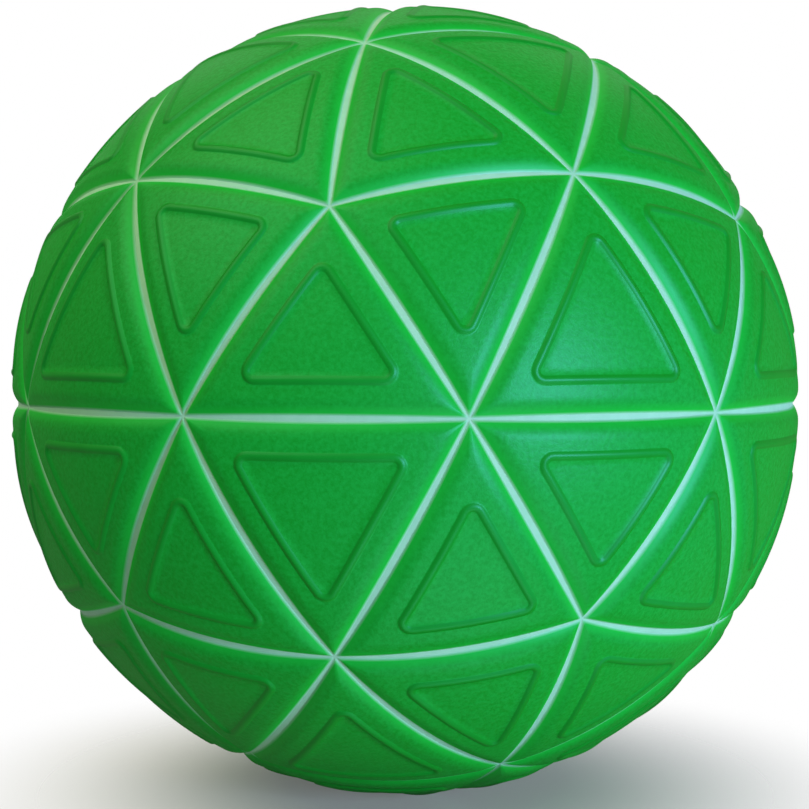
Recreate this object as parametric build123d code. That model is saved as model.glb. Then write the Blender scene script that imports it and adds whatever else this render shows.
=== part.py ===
from build123d import *
from math import atan, atan2, cos, radians, sin
import os

# A moulded rubber handball of the beach kind.
# Eighty triangular panels lie on a white carcass in a geodesic net, whose junctions are the twelve
# corners of an icosahedron and the midpoints of its thirty edges. Under the carcass are a thread
# winding and the bladder that holds the air, and a needle valve goes through all of them.
# The origin is the ball's centre, +Z runs out through the valve, and the first junction of the
# upper ring lies above -Y. Lengths are in millimetres.

# Cover panels
crown_radius = 80.85         # from the ball's centre to a panel's outer face
panel_thickness = 1.2        # from the carcass to the crown, which is the depth of the channels
channel_mid_width = 1.6      # bare carcass between two panels, halfway along a side
channel_end_width = 0.8      # the same at a junction
shoulder_width = 3.1         # rounded edge of a panel, from the crown down to the carcass
shoulder_knee_share = 0.58   # of that width, how far out the shoulder's curve aims before it drops
dome_sweep = 120             # degrees of each side's dome, wide enough for the whole panel

# Raised bead that outlines a smaller triangle on each panel
bead_inset = 6.6             # from the middle of the channel to the middle of the bead
bead_width = 1.5
bead_height = 0.35

# Layers under the cover
carcass_thickness = 0.8
winding_thickness = 0.5
bladder_thickness = 0.9

# Valve core, a plug with a blind passage for the pump's needle
needle_radius = 1.1
needle_depth = 10.0
needle_lead_in = 0.5         # widening at the mouth of the passage
core_wall = 1.5              # round the passage
core_lips = 3.4              # closed rubber past the passage, which the needle parts
core_head_step = 0.5         # how far the core's head stands out from its shaft
core_head_thickness = 1.4

# Valve body, bonded into the bladder
valve_recess = 0.45          # from the crown down to the valve's outer face
valve_gap = 0.1              # round the neck, between it and the tips of the panels
neck_wall = 0.9              # round the core's head
neck_chamfer_share = 0.5     # of the neck's wall
stem_wall = 2.9              # round the core's shaft
stem_floor = 1.5             # under the core
stem_chamfer_share = 0.5     # of the stem's wall
flange_width = 8.5           # from the stem out to the flange's edge
flange_thickness = 1.2

# Radii of the layers, from the outside in
carcass_radius = crown_radius - panel_thickness
winding_radius = carcass_radius - carcass_thickness
bladder_radius = winding_radius - winding_thickness
cavity_radius = bladder_radius - bladder_thickness

# Radii and heights of the valve
core_radius = needle_radius + core_wall
core_head_radius = core_radius + core_head_step
neck_radius = core_head_radius + neck_wall
stem_radius = core_radius + stem_wall
flange_radius = stem_radius + flange_width
valve_top = crown_radius - valve_recess
core_shoulder = valve_top - core_head_thickness
core_bottom = valve_top - needle_depth - core_lips
stem_bottom = core_bottom - stem_floor
flange_level = cavity_radius - flange_thickness / 2

centre = Vector(0, 0, 0)
ring_size = 5
ring_latitude = atan(1 / 2)
shape_digits = 6             # decimals of the corner directions that tell two panels' shapes apart
panel_shapes = {}


# The net

def direction(longitude, latitude):
    """Unit vector from the ball's centre, with longitude 0 on -Y and growing towards +X."""
    level = cos(latitude)
    return Vector(sin(longitude) * level, -cos(longitude) * level, sin(latitude))


def make_junctions():
    """The twelve junctions where five panels meet: two poles and two rings."""
    step = radians(360 / ring_size)
    found = {"north": Vector(0, 0, 1), "south": Vector(0, 0, -1)}
    for place in range(ring_size):
        found[f"upper_{place + 1}"] = direction(step * place, ring_latitude)
        found[f"lower_{place + 1}"] = direction(step * (place + 1 / 2), -ring_latitude)
    return found


def make_faces():
    """The twenty faces of the net, each by its junctions, counterclockwise from outside."""
    found = {}
    for place in range(ring_size):
        here = place + 1
        following = here % ring_size + 1
        found[f"north_panel_{here}"] = ("north", f"upper_{here}", f"upper_{following}")
        found[f"upper_belt_panel_{here}"] = (f"upper_{here}", f"lower_{here}", f"upper_{following}")
        found[f"lower_belt_panel_{here}"] = (f"upper_{following}", f"lower_{here}", f"lower_{following}")
        found[f"south_panel_{here}"] = ("south", f"lower_{following}", f"lower_{here}")
    return found


junctions = make_junctions()
faces = make_faces()


def between(first, second):
    """Direction halfway between two directions."""
    return (first + second).normalized()


def centre_corners(names):
    """Corners of the equilateral panel in the middle of a face of the net."""
    first, second, third = (junctions[name] for name in names)
    return [between(first, second), between(second, third), between(third, first)]


def tip_corners(names, tip):
    """Corners of the isosceles panel of a face at one of its junctions, the tip first."""
    at = names.index(tip)
    apex, following, last = (junctions[name] for name in names[at:] + names[:at])
    return [apex, between(apex, following), between(last, apex)]


def panel_plane(corners):
    """Frame at the ball's centre, with Z out through a panel's middle and X towards its first corner."""
    middle = (corners[0] + corners[1] + corners[2]).normalized()
    return Plane(origin=centre, x_dir=corners[0] - middle * corners[0].dot(middle), z_dir=middle)


def panel_sides(corners):
    """Each side's middle direction, inward normal and half angle."""
    for at in range(len(corners)):
        start = corners[at - 1]
        end = corners[at]
        middle = between(start, end)
        yield middle, start.cross(end).normalized(), radians(start.get_angle(middle))


# One panel

def polar(radius, angle):
    """Point of a half section through the ball, by its angle from the section's Y axis."""
    return Vector(radius * sin(angle), radius * cos(angle))


def side_dome(middle, inward, half_angle):
    """Cover layer on the panel's side of one channel, with its rounded shoulder.

    The axis leans away from the side's middle, so the rim bows in there and the channel narrows
    towards both junctions.
    """
    mid_offset = channel_mid_width / 2 / carcass_radius
    end_offset = channel_end_width / 2 / carcass_radius
    lean = atan2(sin(mid_offset) - sin(end_offset), cos(mid_offset) - cos(end_offset) * cos(half_angle))
    axis = Axis(centre, inward * cos(lean) - middle * sin(lean))
    foot_angle = radians(90) + lean - mid_offset
    rim_angle = foot_angle - shoulder_width / crown_radius
    rim = polar(crown_radius, rim_angle)
    knee = rim + polar(shoulder_width * shoulder_knee_share, rim_angle + radians(90))
    foot = polar(carcass_radius, foot_angle)
    section = make_face([
        ThreePointArc(polar(crown_radius, 0), polar(crown_radius, rim_angle / 2), rim),
        Bezier(rim, knee, foot),
        ThreePointArc(foot, polar(carcass_radius, foot_angle / 2), polar(carcass_radius, 0)),
        Line(polar(carcass_radius, 0), polar(crown_radius, 0)),
    ])
    outward = (middle * cos(lean) + inward * sin(lean)).rotate(axis, -dome_sweep / 2)
    plane = Plane(origin=centre, x_dir=outward, z_dir=outward.cross(axis.direction))
    return revolve(plane * section, axis=axis, revolution_arc=dome_sweep)


def inset_pyramid(corners, inset):
    """Pyramid from the ball's centre out through a triangle that lies inside a panel's sides."""
    tilt = inset / crown_radius
    normals = [inward * cos(tilt) - middle * sin(tilt) for middle, inward, _ in panel_sides(corners)]
    tips = [normals[at - 1].cross(normals[at]) for at in range(len(normals))]
    top = crown_radius + bead_height
    outline = Polyline(*[tip * (top / tip.Z) for tip in tips], close=True)
    return loft([make_face(outline), Vertex(centre)])


def make_bead(corners):
    """Raised triangular outline, rooted halfway down the panel."""
    outer = inset_pyramid(corners, bead_inset - bead_width / 2)
    inner = inset_pyramid(corners, bead_inset + bead_width / 2)
    layer = Sphere(crown_radius + bead_height) - Sphere(crown_radius - panel_thickness / 2)
    return (outer - inner) & layer


def make_panel(corners):
    """A panel with its bead, from corners in the frame that panel_plane gives."""
    first, second, third = (side_dome(*side) for side in panel_sides(corners))
    return (first & second & third) + make_bead(corners)


def place_panel(corners):
    """A panel in its place on the ball. Panels of one shape are made once."""
    plane = panel_plane(corners)
    local = [plane.to_local_coords(corner) for corner in corners]
    shape = tuple(round(value, shape_digits) for corner in local for value in corner)
    if shape not in panel_shapes:
        panel_shapes[shape] = make_panel(local)
    return plane * panel_shapes[shape]


# Layers and valve

def upright(radius, bottom, top):
    """Cylinder on the valve's axis between two heights."""
    standing = (Align.CENTER, Align.CENTER, Align.MIN)
    return Pos(0, 0, bottom) * Cylinder(radius, top - bottom, align=standing)


def valve_hole(radius):
    """Straight hole from the ball's centre out through the top."""
    return upright(radius, 0, crown_radius)


def make_layer(outer_radius, thickness):
    """A closed shell with the hole for the valve's neck."""
    return Sphere(outer_radius) - Sphere(outer_radius - thickness) - valve_hole(neck_radius)


def turned(outline):
    """Solid turned about the valve's axis from an outline of radii and heights."""
    return revolve(Plane.XZ * make_face(outline), axis=Axis.Z)


def core_blank():
    """The core's outer shape, which is also its pocket in the valve body."""
    return turned(Polyline(
        (0, core_bottom), (core_radius, core_bottom), (core_radius, core_shoulder),
        (core_head_radius, core_shoulder), (core_head_radius, valve_top), (0, valve_top), close=True))


def make_valve_body():
    """Neck, flange that follows the bladder's inner face, and stem, with the pocket for the core."""
    flange = Sphere(cavity_radius) - Sphere(cavity_radius - flange_thickness)
    flange = flange & valve_hole(flange_radius)
    stem = upright(stem_radius, stem_bottom, flange_level)
    stem = chamfer(stem.edges().group_by(Axis.Z)[0], stem_wall * stem_chamfer_share)
    neck = upright(neck_radius, flange_level, valve_top)
    neck = chamfer(neck.edges().group_by(Axis.Z)[-1], neck_wall * neck_chamfer_share)
    return flange + stem + neck - core_blank()


def make_valve_core():
    """Plug with the needle's passage, closed at its inner end by lips that the needle parts."""
    passage_bottom = valve_top - needle_depth
    passage = turned(Polyline(
        (0, passage_bottom), (needle_radius, passage_bottom),
        (needle_radius, valve_top - needle_lead_in), (needle_radius + needle_lead_in, valve_top),
        (0, valve_top), close=True))
    return core_blank() - passage


# The ball

def make_ball():
    """Every node's solids by its name."""
    nodes = {
        "bladder": [make_layer(bladder_radius, bladder_thickness)],
        "thread_winding": [make_layer(winding_radius, winding_thickness)],
        "carcass": [make_layer(carcass_radius, carcass_thickness)],
        "valve_body": [make_valve_body()],
        "valve_core": [make_valve_core()],
    }
    for name, names in faces.items():
        nodes[name] = [place_panel(centre_corners(names))]
    for junction in junctions:
        around = [tip_corners(names, junction) for names in faces.values() if junction in names]
        nodes[f"{junction}_cap"] = [place_panel(corners) for corners in around]
    opening = valve_hole(neck_radius + valve_gap)
    nodes["north_cap"] = [panel - opening for panel in nodes["north_cap"]]
    return nodes


os.makedirs("parts", exist_ok=True)
for node, pieces in make_ball().items():
    solids = [solid for piece in pieces for solid in piece.solids()]
    export_step(Compound(solids), f"parts/{node}.step")
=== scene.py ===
from math import acos, atan, atan2, cos, pi, radians, sin

import bmesh
import bpy
import numpy as np
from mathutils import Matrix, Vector


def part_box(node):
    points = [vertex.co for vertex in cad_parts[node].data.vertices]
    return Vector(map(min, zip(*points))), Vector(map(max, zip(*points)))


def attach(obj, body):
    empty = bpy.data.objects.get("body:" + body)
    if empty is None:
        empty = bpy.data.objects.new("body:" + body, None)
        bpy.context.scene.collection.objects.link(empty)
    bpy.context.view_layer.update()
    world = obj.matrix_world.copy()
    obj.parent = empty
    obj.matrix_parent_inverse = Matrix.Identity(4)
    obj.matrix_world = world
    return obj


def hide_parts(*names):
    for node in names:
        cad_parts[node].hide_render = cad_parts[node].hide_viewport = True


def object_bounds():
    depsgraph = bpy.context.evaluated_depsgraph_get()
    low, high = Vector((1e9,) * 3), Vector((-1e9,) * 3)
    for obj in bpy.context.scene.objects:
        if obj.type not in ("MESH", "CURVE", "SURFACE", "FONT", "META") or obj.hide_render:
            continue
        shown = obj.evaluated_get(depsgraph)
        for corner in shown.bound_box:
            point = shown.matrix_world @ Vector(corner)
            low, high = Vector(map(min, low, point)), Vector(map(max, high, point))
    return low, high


# A moulded rubber beach handball. Lengths are in metres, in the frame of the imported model.
# The panels follow the net, channels and shoulders of the solids, with finer faces and a rounded bead.

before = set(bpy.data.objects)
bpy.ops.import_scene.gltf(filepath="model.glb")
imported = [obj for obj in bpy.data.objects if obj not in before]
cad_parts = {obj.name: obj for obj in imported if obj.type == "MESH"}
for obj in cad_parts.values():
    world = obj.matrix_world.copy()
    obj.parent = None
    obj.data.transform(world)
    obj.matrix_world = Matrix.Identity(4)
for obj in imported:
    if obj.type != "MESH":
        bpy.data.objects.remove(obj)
cad_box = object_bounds()
root_body = "root"

# Net of the cover
ring_size = 5
ring_latitude = atan(1 / 2)

# Channels, shoulders and valve opening, with the sizes of the solids
carcass_radius = -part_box("carcass")[0].z
panel_thickness = 0.0012
crown_radius = carcass_radius + panel_thickness
channel_mid_width = 0.0016
channel_end_width = 0.0008
shoulder_width = 0.0031
shoulder_knee_share = 0.58
valve_opening_radius = 0.0041

# Bead, a little wider and further out than the plain rib of the solids
bead_inset = 0.0064
bead_width = 0.0017
bead_height = 0.00036

# Feathered edge of a panel, where its rubber thins out over the white in the channel, and a lighter band up
# the shoulder that is painted glow, lifting the shade of the slope
feather_width = 0.0003
white_reach = 0.00042
painted_glow_reach = 0.0015
glow_white_split = 1 / 2

# Rounding of a panel's outline at each corner, from the channel to the inside of the bead
foot_corner = 0.00015
rim_corner = 0.0010
bead_outer_corner = 0.0024
bead_inner_corner = 0.0007

# Finish at a point of a panel: how grained, how much of the white below or of the painted glow on the
# shoulder shows, and how much it is a bead.
# The grain comes in late up the shoulder, and the bead's finish is full at a share of its height.
finish_names = ("grain", "feather_and_glow", "ridge")
field_finish = (1, 0, 0)
base_finish = (0, 1, 0)
grain_lateness = 4
ridge_full_share = 0.3

# Faces of a panel, with two loops between its shoulder and its bead, and corners of a round outline
run_steps = 14
corner_steps = 6
shoulder_steps = 12
rim_shares = (0.5, 0.94)
bead_steps = 12
field_steps = 6
base_steps = 2
crease_angle = radians(40)
round_corners = 96

# Colours, the dark and the light end of each mottle, and the part of its noise that they spread over
# The field's colours are its grained green, with painted bluish sheen mixed into their lighter, bluer end
field_and_sheen_colours = ((0.0012, 0.33, 0.013), (0.005, 0.41, 0.033))
bead_colours = ((0.0010, 0.28, 0.011), (0.0018, 0.31, 0.015))
# Lighter green for the shoulders beside the channels: painted glow that lifts their shade
painted_glow_colours = ((0.004, 0.50, 0.030), (0.008, 0.54, 0.040))
# White rubber, tinted mint by painted green bounce from the channel walls
white_and_bounce_colours = ((0.34, 0.75, 0.50), (0.39, 0.80, 0.55))
thread_colours = ((0.55, 0.53, 0.48), (0.76, 0.74, 0.68))
bladder_colours = ((0.012, 0.012, 0.013), (0.024, 0.024, 0.026))
valve_colours = ((0.018, 0.019, 0.020), (0.034, 0.035, 0.037))
mottle_range = (0.3, 0.7)
grain_range = (0.35, 0.65)
full_range = (0, 1)

# Mottle, grain and relief
noise_detail = 3.0
noise_roughness = 0.6
green_mottle = 0.007
green_grain = 0.0008
green_grain_roughness = 0.65
green_relief = 0.00006
white_mottle = 0.004
white_grain = 0.0006
plain_mottle = 0.002
plain_grain = 0.0004
smooth_relief = 0.00003
thread_pitch = 0.0012
thread_waviness = 4.0
thread_relief = 0.0001

# Roughness and gloss. The gloss of the green rubber is tinted, and fades from the front to low angles.
field_roughness = 0.46
bead_roughness = 0.43
front_gloss = 0.6
gloss_fade = 0.75
gloss_tint = (0.28, 1.0, 0.95)
white_roughness = (0.5, 0.65)
white_gloss = 0.28
thread_roughness = (0.7, 0.55)
bladder_roughness = 0.6
valve_roughness = 0.62
roughness_play = 0.06

# View of the photograph, with the sensor in millimetres
view_azimuth = radians(10.38)
view_elevation = radians(2.27)
view_distance = 0.3645
focal_pixels = 1730
frame_pixels = 809
ball_pixel_x = 405.5
ball_pixel_y = 400.0
sensor_width = 36
nearest_seen = 0.01

# Stage, with the backdrop's fade in half widths of the view
floor_radius = 0.11
floor_fade_start = 0.03
floor_colour = (0.55, 0.55, 0.55)
floor_glow = 0.12
backdrop_distance = 2.0
backdrop_fade_start = 1.42
backdrop_fade_end = 2.0
surround_colour = (1.0, 0.97, 0.90)
surround_strength = 0.45
fill_strength = 0.14
stage_roughness = 0.9
white = (1, 1, 1)
black = (0, 0, 0)

# Lamps: degrees round from the camera and up, metres away and across, watts, and colour
lamps = {
    "key": (38, 5, 0.9, 0.25, 4.7, (0.82, 0.96, 1.45)),
    "overhead": (-68, 56, 1.0, 1.0, 7.4, (1.0, 0.92, 0.56)),
    "side": (85, -15, 0.9, 0.8, 1.8, (0.25, 0.60, 1.05)),
    "low": (25, -52, 0.9, 0.6, 2.3, (0.80, 0.90, 0.90)),
    "back": (180, 25, 1.0, 1.0, 3.2, white),
}


# The net of junctions

def unit(vector):
    """Vector of length 1 in the same direction."""
    return vector / np.linalg.norm(vector)


def direction(longitude, latitude):
    """Unit vector from the ball's centre, with longitude 0 on -Y and growing towards +X."""
    level = cos(latitude)
    return np.array([sin(longitude) * level, -cos(longitude) * level, sin(latitude)])


def make_junctions():
    """The twelve junctions where five panels meet: two poles and two rings."""
    step = radians(360 / ring_size)
    found = {"north": np.array([0, 0, 1]), "south": np.array([0, 0, -1])}
    for place in range(ring_size):
        found[f"upper_{place + 1}"] = direction(step * place, ring_latitude)
        found[f"lower_{place + 1}"] = direction(step * (place + 1 / 2), -ring_latitude)
    return found


def make_faces():
    """The twenty faces of the net, each by its junctions, counterclockwise from outside."""
    found = {}
    for place in range(ring_size):
        here = place + 1
        following = here % ring_size + 1
        found[f"north_panel_{here}"] = ("north", f"upper_{here}", f"upper_{following}")
        found[f"upper_belt_panel_{here}"] = (f"upper_{here}", f"lower_{here}", f"upper_{following}")
        found[f"lower_belt_panel_{here}"] = (f"upper_{following}", f"lower_{here}", f"lower_{following}")
        found[f"south_panel_{here}"] = ("south", f"lower_{following}", f"lower_{here}")
    return found


junctions = make_junctions()
faces = make_faces()


def between(first, second):
    """Direction halfway between two directions."""
    return unit(first + second)


def centre_corners(names):
    """Corners of the panel in the middle of a face of the net."""
    first, second, third = (junctions[name] for name in names)
    return [between(first, second), between(second, third), between(third, first)]


def tip_corners(names, tip):
    """Corners of the panel of a face at one of its junctions, the tip first."""
    at = names.index(tip)
    apex, following, last = (junctions[name] for name in names[at:] + names[:at])
    return [apex, between(apex, following), between(last, apex)]


# One panel

def part_way(start, end, share):
    """Number that lies a share of the way from a start to an end."""
    return start + (end - start) * share


def turn_about(axis, point, angle):
    """Point turned about an axis through the ball's centre."""
    along = axis * np.dot(axis, point)
    across = point - along
    return along + across * cos(angle) + np.cross(axis, across) * sin(angle)


def channel_lean(half_angle):
    """Lean of a side's axis that narrows the channel from its middle to its ends."""
    mid_offset = channel_mid_width / 2 / carcass_radius
    end_offset = channel_end_width / 2 / carcass_radius
    return atan2(sin(mid_offset) - sin(end_offset), cos(mid_offset) - cos(end_offset) * cos(half_angle))


def side_circles(corners, inset, bead_share):
    """Axis and height of the circle that runs along each side, an inset away from the channel's middle.

    Beside the channel the circle bows with it, and towards the bead it becomes a great circle.
    """
    bead_lean = bead_inset / crown_radius
    circles = []
    for at in range(len(corners)):
        start = corners[at - 1]
        end = corners[at]
        middle = between(start, end)
        inward = unit(np.cross(start, end))
        half_angle = acos(np.dot(start, middle))
        lean = channel_lean(half_angle) * (1 - bead_share) + bead_lean * bead_share
        axis = inward * cos(lean) - middle * sin(lean)
        circles.append((axis, inset / crown_radius - lean))
    return circles


def crossing(first, second, deeper, near):
    """Direction where two circles cross, each moved inwards by an angle, on the side of a near direction."""
    first_axis, first_rise = first
    second_axis, second_rise = second
    slope = np.dot(first_axis, second_axis)
    first_height = sin(first_rise + deeper)
    second_height = sin(second_rise + deeper)
    openness = 1 - slope * slope
    part = first_axis * (first_height - second_height * slope) / openness
    part = part + second_axis * (second_height - first_height * slope) / openness
    normal = np.cross(first_axis, second_axis)
    reach = (1 - np.dot(part, part)) / openness
    found = part + normal * reach ** 0.5
    other = part - normal * reach ** 0.5
    return found if np.dot(found, near) > np.dot(other, near) else other


def away_from(axis, point, angle):
    """Point moved away from an axis by an angle, in the plane of both."""
    across = unit(point - axis * np.dot(axis, point))
    reached = acos(np.dot(axis, point)) + angle
    return axis * cos(reached) + across * sin(reached)


def angle_round(axis, start, end):
    """Angle from one point to another round an axis, the short way."""
    from_axis = start - axis * np.dot(axis, start)
    to_axis = end - axis * np.dot(axis, end)
    return atan2(np.dot(axis, np.cross(from_axis, to_axis)), np.dot(from_axis, to_axis))


def outline(corners, inset, bead_share, corner_radius):
    """Closed loop of directions that runs inside a panel's sides, with rounded corners."""
    circles = side_circles(corners, inset, bead_share)
    turn = corner_radius / crown_radius
    sides = len(corners)
    pivots = [crossing(circles[at], circles[(at + 1) % sides], turn, corners[at]) for at in range(sides)]
    loop = []
    for at in range(sides):
        axis = circles[at][0]
        following_axis = circles[(at + 1) % sides][0]
        start = away_from(axis, pivots[at - 1], turn)
        end = away_from(axis, pivots[at], turn)
        beyond = away_from(following_axis, pivots[at], turn)
        run = angle_round(axis, start, end)
        corner = angle_round(pivots[at], end, beyond)
        loop += [turn_about(axis, start, run * step / run_steps) for step in range(run_steps)]
        loop += [turn_about(pivots[at], end, corner * step / corner_steps) for step in range(corner_steps)]
    return np.array(loop)


def shoulder_profile():
    """Inset, height above the carcass and corner radius from the foot of the shoulder to its rim.

    The foot runs a little way into the channel, and from there the shoulder is a Bezier curve.
    """
    foot = channel_mid_width / 2 - feather_width
    rim = channel_mid_width / 2 + shoulder_width
    knee = rim - shoulder_width * shoulder_knee_share
    rows = []
    for step in range(shoulder_steps + 1):
        share = step / shoulder_steps
        low = (1 - share) ** 2
        bend = 2 * share * (1 - share)
        high = share ** 2
        inset = foot * low + knee * bend + rim * high
        height = panel_thickness * (bend + high)
        rows.append((inset, height, part_way(foot_corner, rim_corner, share)))
    return rows


def bead_profile():
    """Inset, height above the carcass and corner radius across the bead, a rounded ridge."""
    rows = []
    for step in range(bead_steps + 1):
        share = step / bead_steps
        inset = bead_inset + bead_width * (share - 1 / 2)
        height = panel_thickness + bead_height * sin(pi * share)
        rows.append((inset, height, part_way(bead_outer_corner, bead_inner_corner, share)))
    return rows


def feather_and_glow(inset):
    """How much of the white below and of the painted glow shows: 1 at the foot, part in the painted glow up
    the shoulder, 0 where the rubber is full.
    """
    past_foot = inset - (channel_mid_width / 2 - feather_width)
    if past_foot < white_reach:
        return 1 - past_foot / white_reach * (1 - glow_white_split)
    return max(0, 1 - (past_foot - white_reach) / painted_glow_reach) * glow_white_split


def panel_levels(corners):
    """Loops of points from the channel over the shoulder and the bead, each with its finish."""
    shoulder = shoulder_profile()
    bead = bead_profile()
    levels = []
    for inset, height, corner in shoulder:
        grain = (height / panel_thickness) ** grain_lateness
        finish = (grain, feather_and_glow(inset), 0)
        levels.append((outline(corners, inset, 0, corner) * (carcass_radius + height), finish))
    rim_inset, _, rim_radius = shoulder[-1]
    foot_inset, _, foot_radius = bead[0]
    for share in rim_shares:
        inset = part_way(rim_inset, foot_inset, share)
        corner = part_way(rim_radius, foot_radius, share)
        levels.append((outline(corners, inset, share, corner) * crown_radius, field_finish))
    for inset, height, corner in bead:
        ridge = min(1, (height - panel_thickness) / bead_height / ridge_full_share)
        finish = (1 - ridge, 0, ridge)
        levels.append((outline(corners, inset, 1, corner) * (carcass_radius + height), finish))
    return levels


def ring_towards(loop, middle, radius, share):
    """Loop drawn in towards a panel's middle by a share, on a sphere of a given radius."""
    drawn = loop * (1 - share) + middle * radius * share
    return drawn / np.linalg.norm(drawn, axis=1, keepdims=True) * radius


def make_panel(corners):
    """Points, faces and finishes of one closed panel."""
    levels = panel_levels(corners)
    middle = unit(sum(corners))
    foot = levels[0][0]
    inner = levels[-1][0]
    for step in range(1, field_steps):
        levels.append((ring_towards(inner, middle, crown_radius, step / field_steps), field_finish))
    for step in range(1, base_steps + 1):
        levels.insert(0, (ring_towards(foot, middle, carcass_radius, step / (base_steps + 1)), base_finish))
    count = len(foot)
    points = [point for loop, _ in levels for point in loop]
    finishes = [finish for _, finish in levels for _ in range(count)]
    found = []
    for level in range(len(levels) - 1):
        low = level * count
        high = low + count
        for at in range(count):
            beside = (at + 1) % count
            found.append((low + at, low + beside, high + beside, high + at))
    last = (len(levels) - 1) * count
    base_middle = len(points)
    field_middle = base_middle + 1
    points += [middle * carcass_radius, middle * crown_radius]
    finishes += [base_finish, field_finish]
    for at in range(count):
        beside = (at + 1) % count
        found.append((base_middle, beside, at))
        found.append((field_middle, last + at, last + beside))
    return points, found, finishes


# Objects

def add_object(name, data):
    """Object in the scene that shows a mesh, a lamp or a camera."""
    added = bpy.data.objects.new(name, data)
    bpy.context.scene.collection.objects.link(added)
    return added


def face_ball(placed, azimuth, elevation, distance):
    """Puts an object at a distance from the ball's centre, with its Z axis along that direction."""
    outward = Vector(direction(azimuth, elevation))
    placed.location = outward * distance
    placed.rotation_mode = "QUATERNION"
    placed.rotation_quaternion = outward.to_track_quat("Z", "Y")


def make_cover(name, corner_sets):
    """Piece of one or more panels that stands for the node of that name."""
    points, found, finishes = [], [], []
    for corners in corner_sets:
        panel_points, panel_faces, panel_finishes = make_panel(corners)
        first = len(points)
        points += panel_points
        finishes += panel_finishes
        found += [tuple(first + at for at in face) for face in panel_faces]
    mesh = bpy.data.meshes.new(f"{name}_cover")
    mesh.from_pydata([tuple(point) for point in points], [], found)
    for label, values in zip(finish_names, zip(*finishes)):
        layer = mesh.attributes.new(label, "FLOAT", "POINT")
        layer.data.foreach_set("value", np.array(values, np.float32))
    mesh.shade_smooth()
    mesh.set_sharp_from_angle(angle=crease_angle)
    return add_object(f"{name}_cover", mesh)


def cut_valve_opening(cover):
    """Cuts the round opening for the valve's neck through the tips at the pole."""
    mesh = bpy.data.meshes.new("valve_cutter")
    shape = bmesh.new()
    bmesh.ops.create_cone(shape, cap_ends=True, segments=round_corners, radius1=valve_opening_radius,
                          radius2=valve_opening_radius, depth=crown_radius)
    bmesh.ops.translate(shape, vec=(0, 0, crown_radius), verts=shape.verts)
    shape.to_mesh(mesh)
    shape.free()
    cutter = add_object("valve_cutter", mesh)
    modifier = cover.modifiers.new("valve_opening", "BOOLEAN")
    modifier.operation = "DIFFERENCE"
    modifier.solver = "EXACT"
    modifier.object = cutter
    bpy.context.view_layer.objects.active = cover
    bpy.ops.object.modifier_apply(modifier=modifier.name)
    bpy.data.objects.remove(cutter)


# Parts of a material

def node_of_type(tree, kind):
    """First node of a kind in a tree."""
    return next(node for node in tree.nodes if node.type == kind)


def new_material(name):
    """Material with its node tree and its principled shader."""
    material = bpy.data.materials.new(name)
    material.use_nodes = True
    tree = material.node_tree
    return material, tree, node_of_type(tree, "BSDF_PRINCIPLED")


def wire(tree, value, node, socket):
    """Feeds a value into a node's socket."""
    tree.links.new(value, node.inputs[socket])


def set_colour(shader, socket, colour):
    """Sets a colour that is the same all over."""
    shader.inputs[socket].default_value = (*colour, 1)


def own_place(tree):
    """Place on an object, in its own coordinates."""
    return tree.nodes.new("ShaderNodeTexCoord").outputs["Object"]


def stored(tree, name):
    """Value stored on a mesh's points."""
    node = tree.nodes.new("ShaderNodeAttribute")
    node.attribute_name = name
    return node.outputs["Fac"]


def noise(tree, size, roughness=noise_roughness):
    """Noise whose cells are about a given size across."""
    node = tree.nodes.new("ShaderNodeTexNoise")
    node.inputs["Scale"].default_value = 1 / size
    node.inputs["Detail"].default_value = noise_detail
    node.inputs["Roughness"].default_value = roughness
    wire(tree, own_place(tree), node, "Vector")
    return node.outputs["Fac"]


def ramp(tree, value, colours, value_range=mottle_range):
    """Colour that goes from the first of two to the second over a range of a value."""
    node = tree.nodes.new("ShaderNodeValToRGB")
    for element, position, colour in zip(node.color_ramp.elements, value_range, colours):
        element.position = position
        element.color = (*colour, 1)
    wire(tree, value, node, "Fac")
    return node.outputs["Color"]


def spread(tree, value, low, high, start=0, end=1, course="LINEAR"):
    """Value spread between two numbers as it goes from a start to an end, on a straight or smooth course."""
    node = tree.nodes.new("ShaderNodeMapRange")
    node.interpolation_type = course
    node.inputs["From Min"].default_value = start
    node.inputs["From Max"].default_value = end
    node.inputs["To Min"].default_value = low
    node.inputs["To Max"].default_value = high
    wire(tree, value, node, "Value")
    return node.outputs["Result"]


def larger(tree, first, second):
    """Larger of two values."""
    node = tree.nodes.new("ShaderNodeMath")
    node.operation = "MAXIMUM"
    wire(tree, first, node, 0)
    wire(tree, second, node, 1)
    return node.outputs["Value"]


def mixed(tree, share, first, second):
    """Colour between two others."""
    node = tree.nodes.new("ShaderNodeMix")
    node.data_type = "RGBA"
    wire(tree, share, node, "Factor")
    wire(tree, first, node, "A")
    wire(tree, second, node, "B")
    return node.outputs["Result"]


def bump(tree, height, depth, strength=None):
    """Normal of a relief of a given depth, at full strength unless a value gives less."""
    node = tree.nodes.new("ShaderNodeBump")
    node.inputs["Distance"].default_value = depth
    node.inputs["Strength"].default_value = 1.0
    wire(tree, height, node, "Height")
    if strength is not None:
        wire(tree, strength, node, "Strength")
    return node.outputs["Normal"]


# Materials

def channel_white_and_bounce(tree):
    """Colour of the white rubber, slightly uneven, and tinted mint by painted green bounce from the channel
    walls.
    """
    return ramp(tree, noise(tree, white_mottle), white_and_bounce_colours)


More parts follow.
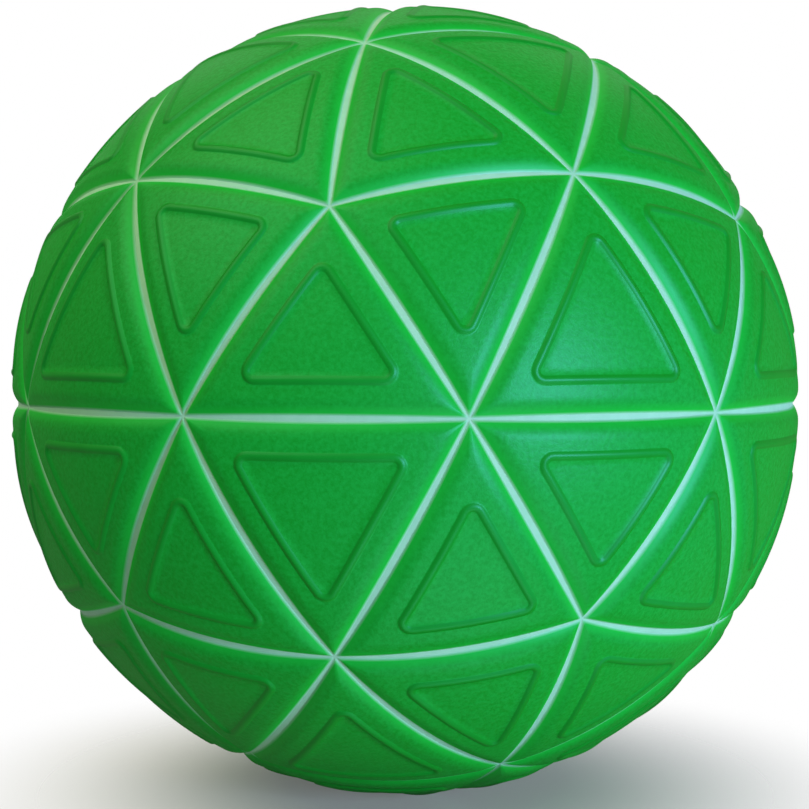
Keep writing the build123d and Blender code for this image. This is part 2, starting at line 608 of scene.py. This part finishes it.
def green_colour(tree, fine, ridge):
    """Colour of the cover: grained field, plain bead, and an edge that thins out over the white, with painted
    glow up the shoulder above it.
    """
    edge = stored(tree, "feather_and_glow")
    mottle = noise(tree, green_mottle)
    # Grained field green, with painted bluish sheen in its lighter end
    field = ramp(tree, fine, field_and_sheen_colours, grain_range)
    rubber = mixed(tree, ridge, field, ramp(tree, mottle, bead_colours))
    # Painted glow: lighter green up the shoulder beside the channel, lifting the shade of its slope
    painted_glow = spread(tree, edge, 0, 1, 0, glow_white_split)
    rubber = mixed(tree, painted_glow, rubber, ramp(tree, mottle, painted_glow_colours))
    whiteness = spread(tree, edge, 0, 1, glow_white_split, 1)
    return mixed(tree, whiteness, rubber, channel_white_and_bounce(tree))


def green_rubber():
    """Matte green cover rubber, grained on its fields, smooth on its beads and edges."""
    material, tree, shader = new_material("green_rubber")
    fine = noise(tree, green_grain, green_grain_roughness)
    ridge = stored(tree, "ridge")
    wire(tree, green_colour(tree, fine, ridge), shader, "Base Color")
    wire(tree, spread(tree, ridge, field_roughness, bead_roughness), shader, "Roughness")
    wire(tree, bump(tree, fine, green_relief, stored(tree, "grain")), shader, "Normal")
    low_angle = tree.nodes.new("ShaderNodeLayerWeight")
    low_angle.inputs["Blend"].default_value = gloss_fade
    wire(tree, spread(tree, low_angle.outputs["Facing"], front_gloss, 0), shader, "Specular IOR Level")
    set_colour(shader, "Specular Tint", gloss_tint)
    return material


def white_rubber():
    """Pale carcass rubber that shows at the bottom of the channels."""
    material, tree, shader = new_material("white_rubber")
    wire(tree, channel_white_and_bounce(tree), shader, "Base Color")
    fine = noise(tree, white_grain)
    wire(tree, spread(tree, fine, *white_roughness), shader, "Roughness")
    wire(tree, bump(tree, fine, smooth_relief), shader, "Normal")
    shader.inputs["Specular IOR Level"].default_value = white_gloss
    return material


def plain_rubber(name, colours, roughness):
    """Moulded rubber of one colour, with a fine mottle."""
    material, tree, shader = new_material(name)
    wire(tree, ramp(tree, noise(tree, plain_mottle), colours), shader, "Base Color")
    fine = noise(tree, plain_grain)
    rough = spread(tree, fine, roughness - roughness_play, roughness + roughness_play)
    wire(tree, rough, shader, "Roughness")
    wire(tree, bump(tree, fine, smooth_relief), shader, "Normal")
    return material


def nylon_thread():
    """Wound nylon thread in wavy bands."""
    material, tree, shader = new_material("nylon_thread")
    node = tree.nodes.new("ShaderNodeTexWave")
    node.inputs["Scale"].default_value = 1 / thread_pitch
    node.inputs["Distortion"].default_value = thread_waviness
    wire(tree, own_place(tree), node, "Vector")
    bands = node.outputs["Fac"]
    wire(tree, ramp(tree, bands, thread_colours, full_range), shader, "Base Color")
    wire(tree, spread(tree, bands, *thread_roughness), shader, "Roughness")
    wire(tree, bump(tree, bands, thread_relief), shader, "Normal")
    return material


# Dressing the ball

def dress(mesh, material):
    """Gives a mesh one finish."""
    mesh.materials.clear()
    mesh.materials.append(material)


def dress_node(node, material):
    """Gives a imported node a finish."""
    dress(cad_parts[node].data, material)


def add_covers():
    """Covers that stand for the panels."""
    green = green_rubber()
    covers = {name: [centre_corners(names)] for name, names in faces.items()}
    for junction in junctions:
        around = [tip_corners(names, junction) for names in faces.values() if junction in names]
        covers[f"{junction}_cap"] = around
    for node, corner_sets in covers.items():
        cover = make_cover(node, corner_sets)
        if node == "north_cap":
            cut_valve_opening(cover)
        dress(cover.data, green)
        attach(cover, root_body)
        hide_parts(node)


def dress_ball():
    """Covers for the panels, and finishes for the pieces that keep their solids."""
    add_covers()
    valve = plain_rubber("valve_rubber", valve_colours, valve_roughness)
    dress_node("carcass", white_rubber())
    dress_node("thread_winding", nylon_thread())
    dress_node("bladder", plain_rubber("black_butyl", bladder_colours, bladder_roughness))
    dress_node("valve_body", valve)
    dress_node("valve_core", valve)


# Stage

def seen_directly(tree):
    """1 for rays that see a surface as a picture, and 0 for rays that only light the ball."""
    path = tree.nodes.new("ShaderNodeLightPath")
    value = path.outputs["Is Camera Ray"]
    for kind in ("Is Glossy Ray", "Is Transmission Ray"):
        value = larger(tree, value, path.outputs[kind])
    return value


def fade_out(tree, shader, start, end):
    """Lets a surface fade out between two distances from its origin, and show from its front only."""
    away = tree.nodes.new("ShaderNodeVectorMath")
    away.operation = "LENGTH"
    wire(tree, own_place(tree), away, 0)
    fade = spread(tree, away.outputs["Value"], 0, 1, start, end, "SMOOTHSTEP")
    sides = tree.nodes.new("ShaderNodeNewGeometry")
    clear = tree.nodes.new("ShaderNodeBsdfTransparent")
    both = tree.nodes.new("ShaderNodeMixShader")
    wire(tree, larger(tree, fade, sides.outputs["Backfacing"]), both, "Fac")
    wire(tree, shader.outputs["BSDF"], both, 1)
    wire(tree, clear.outputs["BSDF"], both, 2)
    wire(tree, both.outputs["Shader"], node_of_type(tree, "OUTPUT_MATERIAL"), "Surface")


def add_disc(name, radius):
    """Flat round sheet about its own origin, facing along Z."""
    turns = [2 * pi * at / round_corners for at in range(round_corners)]
    points = [(radius * cos(turn), radius * sin(turn), 0) for turn in turns]
    mesh = bpy.data.meshes.new(name)
    mesh.from_pydata(points, [], [range(round_corners)])
    return add_object(name, mesh)


def stage_material(name, colour, glow, fade_start, fade_end):
    """Dull surface that glows white where it is seen, and fades out between two distances."""
    material, tree, shader = new_material(name)
    set_colour(shader, "Base Color", colour)
    set_colour(shader, "Emission Color", white)
    shader.inputs["Roughness"].default_value = stage_roughness
    shader.inputs["Specular IOR Level"].default_value = 0
    wire(tree, spread(tree, seen_directly(tree), 0, glow), shader, "Emission Strength")
    fade_out(tree, shader, fade_start, fade_end)
    return material


def add_floor():
    """Round pale floor that keeps the ball's shadow and fades out towards its rim."""
    floor = add_disc("floor", floor_radius)
    floor.location = (0, 0, cad_box[0].z)
    dress(floor.data, stage_material("floor", floor_colour, floor_glow, floor_fade_start, floor_radius))


def add_backdrop():
    """White sheet far behind the ball that fills the camera's view and fades out towards its rim."""
    half_view = (view_distance + backdrop_distance) * frame_pixels / 2 / focal_pixels
    fade_start = half_view * backdrop_fade_start
    fade_end = half_view * backdrop_fade_end
    card = add_disc("backdrop", fade_end)
    face_ball(card, view_azimuth, view_elevation, -backdrop_distance)
    dress(card.data, stage_material("backdrop", black, 1, fade_start, fade_end))


def add_world():
    """Pale surroundings where they are seen, and a soft fill on the ball."""
    world = bpy.data.worlds.new("studio")
    world.use_nodes = True
    tree = world.node_tree
    background = node_of_type(tree, "BACKGROUND")
    set_colour(background, "Color", surround_colour)
    wire(tree, spread(tree, seen_directly(tree), fill_strength, surround_strength), background, "Strength")
    bpy.context.scene.world = world


def add_softbox(name, turn, rise, distance, size, power, colour):
    """Square lamp that faces the ball from a direction round the camera's."""
    lamp = bpy.data.lights.new(name, "AREA")
    lamp.shape = "SQUARE"
    lamp.size = size
    lamp.energy = power
    lamp.color = colour
    face_ball(add_object(name, lamp), view_azimuth + radians(turn), radians(rise), distance)


def add_lights():
    """Soft lamp at the right, a warm one high on the left, and weak ones beside, below and behind."""
    for name, values in lamps.items():
        add_softbox(name, *values)


def add_camera():
    """Camera of the photograph, aimed at the ball's centre and shifted by a few pixels."""
    lens = bpy.data.cameras.new("camera")
    lens.sensor_width = sensor_width
    lens.lens = sensor_width * focal_pixels / frame_pixels
    lens.shift_x = (frame_pixels / 2 - ball_pixel_x) / frame_pixels
    lens.shift_y = (ball_pixel_y - frame_pixels / 2) / frame_pixels
    lens.clip_start = nearest_seen
    camera = add_object("camera", lens)
    face_ball(camera, view_azimuth, view_elevation, view_distance)
    bpy.context.scene.camera = camera


add_camera()
dress_ball()
add_floor()
add_backdrop()
add_world()
add_lights()
bpy.context.scene.view_settings.view_transform = "Standard"
